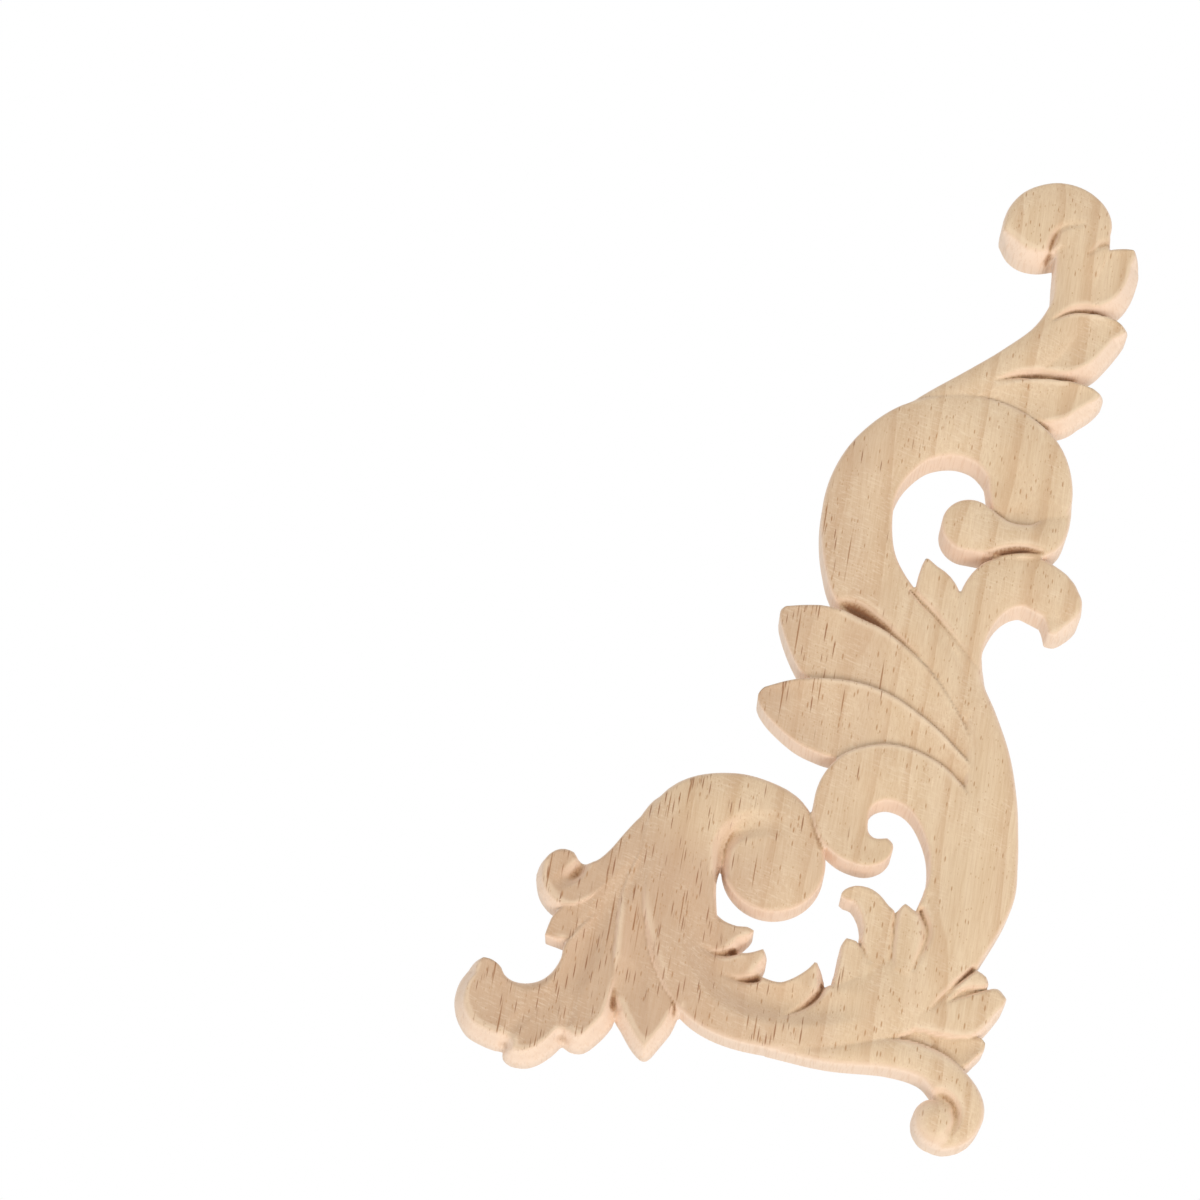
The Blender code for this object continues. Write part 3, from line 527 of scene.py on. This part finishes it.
def blank():
    """A sheet of small triangles that covers the whole ornament and stands in the plane of the back."""
    left, right, foot, top = AREA
    bpy.ops.object.select_all(action="DESELECT")
    bpy.ops.mesh.primitive_grid_add(
        x_subdivisions=round((right - left) / CELL), y_subdivisions=round((top - foot) / CELL),
        size=1, location=((left + right) / 2 * MM, 0, (foot + top) / 2 * MM),
        rotation=(math.pi / 2, 0, 0))
    piece = bpy.context.object
    piece.name = "carved_wood"
    piece.scale = ((right - left) * MM, (top - foot) * MM, 1)
    bpy.ops.object.transform_apply(location=True, rotation=True, scale=True)
    bpy.ops.object.mode_set(mode="EDIT")
    bpy.ops.mesh.select_all(action="SELECT")
    bpy.ops.mesh.quads_convert_to_tris(quad_method="FIXED", ngon_method="BEAUTY")
    bpy.ops.object.mode_set(mode="OBJECT")
    return piece


def points_of(piece):
    """The piece's points as an array, in millimetres."""
    flat = np.empty(len(piece.data.vertices) * 3, np.float32)
    piece.data.vertices.foreach_get("co", flat)
    return flat.reshape(-1, 3).astype(float) / MM


def place_points(piece, points):
    piece.data.vertices.foreach_set("co", (points * MM).astype(np.float32).ravel())
    piece.data.update()


def triangles_of(piece):
    """The three points of each triangle, by their place in the list of points."""
    corners = np.empty(len(piece.data.loops), np.int32)
    piece.data.loops.foreach_get("vertex_index", corners)
    return corners.reshape(-1, 3)


def edit_faces(piece, chosen):
    """Enters edit mode with only the chosen faces selected."""
    bpy.ops.object.mode_set(mode="EDIT")
    bpy.ops.mesh.select_mode(type="FACE")
    bpy.ops.mesh.select_all(action="DESELECT")
    bpy.ops.object.mode_set(mode="OBJECT")
    piece.data.polygons.foreach_set("select", chosen)
    bpy.ops.object.mode_set(mode="EDIT")


def saw_outline(piece):
    """Moves points onto the outline where the sheet crosses it, and cuts away all that lies outside."""
    points, triangles = points_of(piece), triangles_of(piece)
    inside, _ = relief(points[:, 0], points[:, 2])
    edges = np.unique(np.sort(np.vstack([triangles[:, [0, 1]], triangles[:, [1, 2]],
                                         triangles[:, [2, 0]]]), axis=1), axis=0)
    crossing = edges[(inside[edges[:, 0]] > 0) != (inside[edges[:, 1]] > 0)]
    start, end = crossing[:, 0], crossing[:, 1]
    share = inside[start] / (inside[start] - inside[end])
    place = points[start] + share[:, None] * (points[end] - points[start])
    mover = np.where(share < 0.5, start, end)
    length = np.linalg.norm(place - points[mover], axis=1)
    for index in np.argsort(-length, kind="stable"):
        points[mover[index]] = place[index]
    inside[mover] = 0
    place_points(piece, points)
    rated = inside[triangles]
    outside = (rated < 0).any(axis=1)
    rim_only = ~outside & (rated == 0).all(axis=1)
    middle = points[triangles[rim_only]].mean(axis=1)
    depth, _ = relief(middle[:, 0], middle[:, 2])
    outside[np.flatnonzero(rim_only)[depth <= 0]] = True
    edit_faces(piece, outside)
    bpy.ops.mesh.delete(type="FACE")
    bpy.ops.object.mode_set(mode="OBJECT")


def part_pinched_points(piece):
    """Takes off the faces round any point where two parts of the sheet touch in that point only."""
    mesh = bmesh.new()
    mesh.from_mesh(piece.data)
    pinched = True
    while pinched:
        pinched = [v for v in mesh.verts if sum(e.is_boundary for e in v.link_edges) > 2]
        for vert in pinched:
            if vert.is_valid:
                bmesh.ops.delete(mesh, geom=list(vert.link_faces), context="FACES")
    loose = [v for v in mesh.verts if not v.link_faces]
    bmesh.ops.delete(mesh, geom=loose, context="VERTS")
    mesh.to_mesh(piece.data)
    mesh.free()


def around(values, edges, rounds):
    """Values averaged with those of the points beside them, several times over."""
    ends = np.concatenate([edges, edges[:, ::-1]])
    beside = np.bincount(ends[:, 0], minlength=len(values))
    for _ in range(rounds):
        values = np.bincount(ends[:, 0], values[ends[:, 1]], minlength=len(values)) / beside
    return values


def raise_relief(piece):
    """Lifts the sheet to the carved height, and keeps for the colour how deep each point lies below
    those around it: more than 0 in a crevice, which gets painted shade, and less on a crest, which is paler."""
    points = points_of(piece)
    depth, height = relief(points[:, 0], points[:, 2])
    points[:, 1] = -height
    place_points(piece, points)
    edges = np.empty(len(piece.data.edges) * 2, np.int32)
    piece.data.edges.foreach_get("vertices", edges)
    # the deeper a point lies below those around it, the more painted shade its colour gets
    lower = around(height, edges.reshape(-1, 2), CREVICE_ROUNDS) - height
    lower *= np.clip(depth / RIM - RIM_BARE, 0, 1)
    shade_and_crest = np.clip(lower / CREVICE_DEPTH, CREST, CREVICE)
    # painted shade in the listed crevices and pockets
    for stations in shaded_places():
        shade_and_crest += sunk(stations, points[:, 0], points[:, 2], lambda towards: towards * (2 - towards))
    crevice_shade_and_crest = piece.data.attributes.new("crevice_shade_and_crest", "FLOAT", "POINT")
    crevice_shade_and_crest.data.foreach_set("value", np.clip(shade_and_crest, CREST, CREVICE).astype(np.float32))


def add_walls_and_back():
    """Extrudes the rim back to the plane of the back in rings, then closes the back."""
    bpy.ops.object.mode_set(mode="EDIT")
    bpy.ops.mesh.select_mode(type="EDGE")
    bpy.ops.mesh.select_all(action="DESELECT")
    bpy.ops.mesh.select_non_manifold(use_wire=False, use_multi_face=False, use_non_contiguous=False,
                                     use_verts=False)
    height = 1.0
    for ring in WALL_RINGS:
        bpy.ops.mesh.extrude_edges_move()
        bpy.ops.transform.resize(value=(1, ring / height, 1), center_override=(0, 0, 0))
        height = ring
    bpy.ops.mesh.mark_sharp()
    bpy.ops.mesh.fill(use_beauty=False)
    bpy.ops.object.mode_set(mode="OBJECT")


def finish_back(piece):
    """Turns the faces of the back that point into the wood, and shades the back flat."""
    count = len(piece.data.polygons)
    normals, centres = np.empty(count * 3), np.empty(count * 3)
    piece.data.polygons.foreach_get("normal", normals)
    piece.data.polygons.foreach_get("center", centres)
    back = np.abs(centres[1::3]) < ON_BACK
    edit_faces(piece, back & (normals[1::3] < 0))
    bpy.ops.mesh.flip_normals()
    edit_faces(piece, back)
    bpy.ops.mesh.faces_shade_flat()
    bpy.ops.object.mode_set(mode="OBJECT")


def carved_wood():
    piece = blank()
    saw_outline(piece)
    part_pinched_points(piece)
    raise_relief(piece)
    add_walls_and_back()
    bpy.ops.object.shade_smooth()
    finish_back(piece)
    return piece


def linear(hex_colour):
    """An sRGB hex colour as linear red, green, blue and alpha."""
    values = [int(hex_colour[i:i + 2], 16) / 255 for i in (1, 3, 5)]
    return [v / 12.92 if v <= 0.04045 else ((v + 0.055) / 1.055) ** 2.4 for v in values] + [1.0]


def node(tree, kind, inputs, **settings):
    """Adds a node. Inputs are values or the sockets that feed them, by name or place."""
    made = tree.nodes.new(kind)
    for name, value in settings.items():
        setattr(made, name, value)
    for place, value in inputs.items():
        if isinstance(value, bpy.types.NodeSocket):
            tree.links.new(value, made.inputs[place])
        else:
            made.inputs[place].default_value = value
    return made


def pore_layer(tree, grain, cell, reach, share):
    """Pores of one size, one to a cell. Cell is in millimetres, reach the share of it that a pore
    fills, and share says how many of the cells hold one. Gives 1 in a pore."""
    scaled = node(tree, "ShaderNodeMapping", {"Vector": grain, "Scale": [1 / side for side in cell]})
    cells = node(tree, "ShaderNodeTexVoronoi", {"Vector": scaled.outputs[0], "Scale": 1.0})
    chance = node(tree, "ShaderNodeSeparateColor", {"Color": cells.outputs["Color"]})
    kept = node(tree, "ShaderNodeMath", {0: chance.outputs[0], 1: share}, operation="LESS_THAN")
    size = node(tree, "ShaderNodeMapRange", {"Value": chance.outputs[1], "To Max": reach,
                                             "To Min": reach * SMALLEST_PORE})
    filled = node(tree, "ShaderNodeMath", {0: cells.outputs["Distance"], 1: size.outputs[0]},
                  operation="DIVIDE")
    core = node(tree, "ShaderNodeMapRange", {"Value": filled.outputs[0], "From Min": PORE_EDGE[0],
                                             "From Max": PORE_EDGE[1], "To Min": 1.0, "To Max": 0.0})
    return node(tree, "ShaderNodeMath", {0: core.outputs[0], 1: kept.outputs[0]},
                operation="MULTIPLY").outputs[0]


def stained(tree, base, share, hex_colour):
    """A colour laid over the base by a share."""
    return node(tree, "ShaderNodeMix", {"Factor": share, "A": base, "B": linear(hex_colour)},
                data_type="RGBA").outputs["Result"]


def between(tree, value, low, high, bottom, top, kind="SMOOTHSTEP"):
    """The value from low to high, spread over bottom to top."""
    return node(tree, "ShaderNodeMapRange", {"Value": value, "From Min": low, "From Max": high,
                                             "To Min": bottom, "To Max": top},
                interpolation_type=kind).outputs[0]


def streaks(tree, grain, size, detail=3.0, distortion=0.0):
    """A grey pattern of streaks of a size in millimetres."""
    scaled = node(tree, "ShaderNodeMapping", {"Vector": grain, "Scale": [1 / side for side in size]})
    return node(tree, "ShaderNodeTexNoise", {"Vector": scaled.outputs[0], "Scale": 1.0, "Detail": detail,
                                             "Roughness": 0.6, "Distortion": distortion}).outputs["Fac"]


def product(tree, first, second):
    """Two values multiplied, or a value scaled."""
    return node(tree, "ShaderNodeMath", {0: first, 1: second}, operation="MULTIPLY").outputs[0]


def turned(tree, place, scale, angle=0.0):
    """Coordinates turned in the plane of the carving and scaled."""
    return node(tree, "ShaderNodeMapping", {"Vector": place, "Rotation": (0, angle, 0),
                                            "Scale": (scale, scale, scale)}).outputs[0]


def growth_colours(tree, grain, across, patches):
    """Cream wood with soft bands and thin growth rings."""
    bands = streaks(tree, grain, (5, 5, 120), detail=3.0, distortion=0.3)
    wood = stained(tree, linear("#E1CAAA"), between(tree, bands, 0.35, 0.7, 0.0, 0.8), "#D5BA97")
    wood = stained(tree, wood, between(tree, patches, 0.4, 0.7, 0.0, 0.4), "#D6BA9A")
    waver = streaks(tree, grain, (30, 30, 160), detail=2.0)
    wander = product(tree, waver, RING_WAVER)
    turns = node(tree, "ShaderNodeMath", {0: across, 1: 1 / RING_SPACING, 2: wander},
                 operation="MULTIPLY_ADD").outputs[0]
    ring = node(tree, "ShaderNodeMath", {0: turns}, operation="FRACT").outputs[0]
    # each ring darkens slowly and ends at once
    late = product(tree, between(tree, ring, 0.62, 0.96, 0.0, 1.0), between(tree, ring, 0.97, 1.0, 1.0, 0.0))
    return stained(tree, wood, product(tree, late, 0.38), "#BC946C")


def board_colours(tree, flat, grain):
    """The colour of the two boards, and where the left one is, which is pinker, with a painted highlight on
    the crown of the large scroll.
    """
    across = node(tree, "ShaderNodeSeparateXYZ", {0: grain}).outputs[0]
    patches = streaks(tree, grain, (16, 16, 45), detail=2.0)
    wood = growth_colours(tree, grain, across, patches)
    waver = between(tree, patches, 0.2, 0.8, -BOARD_WAVER, BOARD_WAVER)
    edge = node(tree, "ShaderNodeMath", {0: across, 1: waver}, operation="ADD").outputs[0]
    left_board = between(tree, edge, *BOARD_EDGE, 1.0, 0.0)
    # a painted highlight makes it pale again on the crown of the large scroll
    from_crown = node(tree, "ShaderNodeVectorMath", {0: flat, 1: LIT_CROWN}, operation="DISTANCE")
    pink_and_crown_highlight = product(tree, left_board, between(tree, from_crown.outputs["Value"], 8, 24, 0.1, 0.75))
    return stained(tree, wood, pink_and_crown_highlight, "#C3A489"), left_board


def sanded(tree, wood, flat):
    """Fine pale scratches of the sanding, across the grain, in some places more than in others."""
    scratches = streaks(tree, turned(tree, flat, 1.0, SANDING_LEAN), (0.4, 0.4, 2.4), detail=3.0)
    places = between(tree, streaks(tree, flat, (14, 14, 14), detail=1.0), 0.4, 0.6, 0.15, 1.0)
    scratched = product(tree, between(tree, scratches, 0.45, 0.75, 0.0, 0.35), places)
    return stained(tree, wood, scratched, "#EFDDC4")


def open_pores(tree, wood, grain, left_board):
    """Pores that lie open along the grain: long ones that crowd on the left, short ones all over.
    Gives the wood's colour and how deep the pores are."""
    crowding = streaks(tree, grain, (9, 9, 60), detail=1.0)
    crowd = product(tree, between(tree, crowding, 0.4, 0.62, 0.15, 0.9), left_board)
    few = between(tree, crowding, 0.3, 0.7, 0.2, 0.5)
    speck = pore_layer(tree, grain, (0.6, 2, 1.2), 0.3, 0.3)
    short = pore_layer(tree, grain, (0.8, 3, 3.2), 0.28, few)
    long = pore_layer(tree, grain, (0.6, 3, 8), 0.34, crowd)
    longest = pore_layer(tree, grain, (0.8, 4, 26), 0.27, crowd)
    wood = stained(tree, wood, product(tree, speck, 0.5), "#B58A5F")
    wood = stained(tree, wood, product(tree, short, 0.7), "#A9794B")
    wood = stained(tree, wood, product(tree, long, 0.8), "#8F5B35")
    wood = stained(tree, wood, product(tree, longest, 0.8), "#966439")
    return wood, node(tree, "ShaderNodeMath", {0: long, 1: short}, operation="ADD").outputs[0]


def flanks_and_painted_light(tree, wood, facing, carved, cutter):
    """Painted highlight on gently sloping edges; steep flanks are lighter, partly as fresh wood and partly as
    painted light, with marks of the cutter.
    """
    # painted highlight on the gently sloping edges
    wood = stained(tree, wood, between(tree, facing, -0.96, -0.6, 0.0, 0.5), "#F0D4BC")
    # steep flanks: fresh wood, and painted light
    fresh_and_lit_flank = product(tree, between(tree, facing, -0.66, -0.34, 0.0, 0.8), carved)
    wood = stained(tree, wood, fresh_and_lit_flank, "#F5DECA")
    marks = product(tree, fresh_and_lit_flank, between(tree, cutter, 0.5, 0.62, 0.0, 0.5))
    return stained(tree, wood, marks, "#E2C2A4")


def painted_crevice_shade(tree, wood, crevice_shade_and_crest, cutter):
    """Painted shade in the crevices: brown, darkest where they are deepest, with dark torn fibres."""
    # painted shade, brown, by how deep a point lies below those around it
    wood = stained(tree, wood, between(tree, crevice_shade_and_crest, 0.15, 1.1, 0.0, 0.7), "#A88058")
    wood = stained(tree, wood, between(tree, crevice_shade_and_crest, 0.9, 1.7, 0.0, 0.75), "#7A4926")
    # dark torn fibres, only inside the painted shade
    fur = between(tree, cutter, 0.45, 0.62, 0.0, 0.5)
    return stained(tree, wood, product(tree, between(tree, crevice_shade_and_crest, 0.3, 1.1, 0.0, 1.0), fur), "#85562F")


def uneven(tree, fibres, cutter, pits):
    """The bumps of raised fibres and cutter marks, and the pits of the pores."""
    raised = node(tree, "ShaderNodeMath", {0: fibres, 1: cutter}, operation="ADD").outputs[0]
    ground = node(tree, "ShaderNodeMath", {0: product(tree, raised, 0.5), 1: product(tree, pits, 0.8)},
                  operation="SUBTRACT").outputs[0]
    return node(tree, "ShaderNodeBump", {"Height": ground, "Strength": 0.5, "Distance": BUMP * MM}).outputs[0]


def rubberwood():
    """Rubberwood, carved and sanded but not finished: a pale matt cream that turns pinkish in the board
    on the left, with open brown pores along the grain, growth rings and soft fibres. Crests are paler, steep
    flanks are lighter as fresh wood and as painted light, eased edges and the crown of the large scroll carry
    a painted highlight, and the crevices carry painted brown shade with furry fibres."""
    material = bpy.data.materials.new("rubberwood")
    material.use_nodes = True
    tree = material.node_tree
    surface = tree.nodes["Principled BSDF"]
    where = node(tree, "ShaderNodeTexCoord", {})
    # millimetres; the grain is turned along Z, because it leans to the right as it rises
    flat = turned(tree, where.outputs["Object"], 1 / MM)
    grain = turned(tree, where.outputs["Object"], 1 / MM, -GRAIN_LEAN)
    # along Y: -1 faces the front, 0 is a wall and 1 the back, which isn't carved
    facing = node(tree, "ShaderNodeSeparateXYZ", {0: where.outputs["Normal"]}).outputs[1]
    carved = between(tree, facing, 0.5, 0.9, 1.0, 0.0)
    # painted shade in the crevices and paler crests, from each point's depth below its neighbours
    crevice_shade_and_crest = node(tree, "ShaderNodeAttribute", {}, attribute_name="crevice_shade_and_crest").outputs["Fac"]
    crevice_shade_and_crest = product(tree, crevice_shade_and_crest, carved)
    fibres = streaks(tree, grain, (0.3, 0.3, 7), detail=4.0)
    cutter = streaks(tree, flat, (0.5, 12, 0.5), detail=2.0)

    wood, left_board = board_colours(tree, flat, grain)
    wood = stained(tree, wood, between(tree, fibres, 0.35, 0.75, 0.0, 0.4, "LINEAR"), "#B98F68")
    wood = sanded(tree, wood, flat)
    # crests are sanded paler
    # crests, which stand above the wood around them, are paler
    wood = stained(tree, wood, between(tree, crevice_shade_and_crest, -0.45, -0.1, 0.45, 0.0), "#ECD6BA")
    wood, pits = open_pores(tree, wood, grain, left_board)
    wood = flanks_and_painted_light(tree, wood, facing, carved, cutter)
    wood = painted_crevice_shade(tree, wood, crevice_shade_and_crest, cutter)

    tree.links.new(wood, surface.inputs["Base Color"])
    tree.links.new(uneven(tree, fibres, cutter, pits), surface.inputs["Normal"])
    surface.inputs["Roughness"].default_value = ROUGHNESS
    surface.inputs["IOR"].default_value = IOR
    return material


def camera():
    """The photograph's view, from below. The ornament stands on the right of the picture."""
    data = bpy.data.cameras.new("camera")
    data.lens = LENS
    data.sensor_width = FILM_WIDTH
    seat = bpy.data.objects.new("camera", data)
    bpy.context.scene.collection.objects.link(seat)
    x, z = VIEW_POINT
    seat.location = (x * MM, -VIEW_LENGTH * math.cos(VIEW_RISE) * MM,
                     (z - VIEW_LENGTH * math.sin(VIEW_RISE)) * MM)
    seat.rotation_euler = (math.pi / 2 + VIEW_RISE, 0, 0)
    bpy.context.scene.camera = seat


def floor():
    """A pale floor, well below the piece."""
    bpy.ops.object.select_all(action="DESELECT")
    bpy.ops.mesh.primitive_plane_add(size=FLOOR_SIZE, location=(0, 0, -FLOOR_DROP))
    ground = bpy.context.object
    ground.name = "floor"
    pale = bpy.data.materials.new("pale_floor")
    pale.use_nodes = True
    pale.node_tree.nodes["Principled BSDF"].inputs["Base Color"].default_value = linear("#F4F4F2")
    ground.data.materials.append(pale)


def sky():
    """Soft white light from all sides, a little weaker from overhead. The camera sees plain white."""
    world = bpy.data.worlds.new("studio")
    bpy.context.scene.world = world
    world.use_nodes = True
    tree = world.node_tree
    way = node(tree, "ShaderNodeTexCoord", {}).outputs["Generated"]
    up = node(tree, "ShaderNodeSeparateXYZ", {0: way})
    glow = node(tree, "ShaderNodeMapRange", {"Value": up.outputs["Z"], "From Min": -0.2, "From Max": 1.0,
                                             "To Min": SKY_GLOW[0], "To Max": SKY_GLOW[1]})
    seen = node(tree, "ShaderNodeLightPath", {})
    strength = node(tree, "ShaderNodeMix", {"Factor": seen.outputs["Is Camera Ray"], "A": glow.outputs[0],
                                            "B": 1.0})
    background = tree.nodes["Background"]
    background.inputs["Color"].default_value = (1, 1, 1, 1)
    tree.links.new(strength.outputs["Result"], background.inputs["Strength"])
    bpy.context.scene.view_settings.view_transform = "Standard"


def key_light():
    """A large soft lamp below and in front, a little to the right."""
    data = bpy.data.lights.new("key", "AREA")
    data.shape = "DISK"
    data.size = KEY_SIZE
    data.energy = KEY_POWER
    data.color = linear("#FFF6EE")[:3]
    lamp = bpy.data.objects.new("key", data)
    bpy.context.scene.collection.objects.link(lamp)
    lamp.location = KEY_PLACE
    direction = Vector(KEY_AIM) - Vector(KEY_PLACE)
    lamp.rotation_euler = direction.to_track_quat("-Z", "Y").to_euler()


piece = carved_wood()
piece.data.materials.append(rubberwood())
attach(piece, "root")
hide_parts("carved_applique")
floor()
sky()
key_light()
camera()
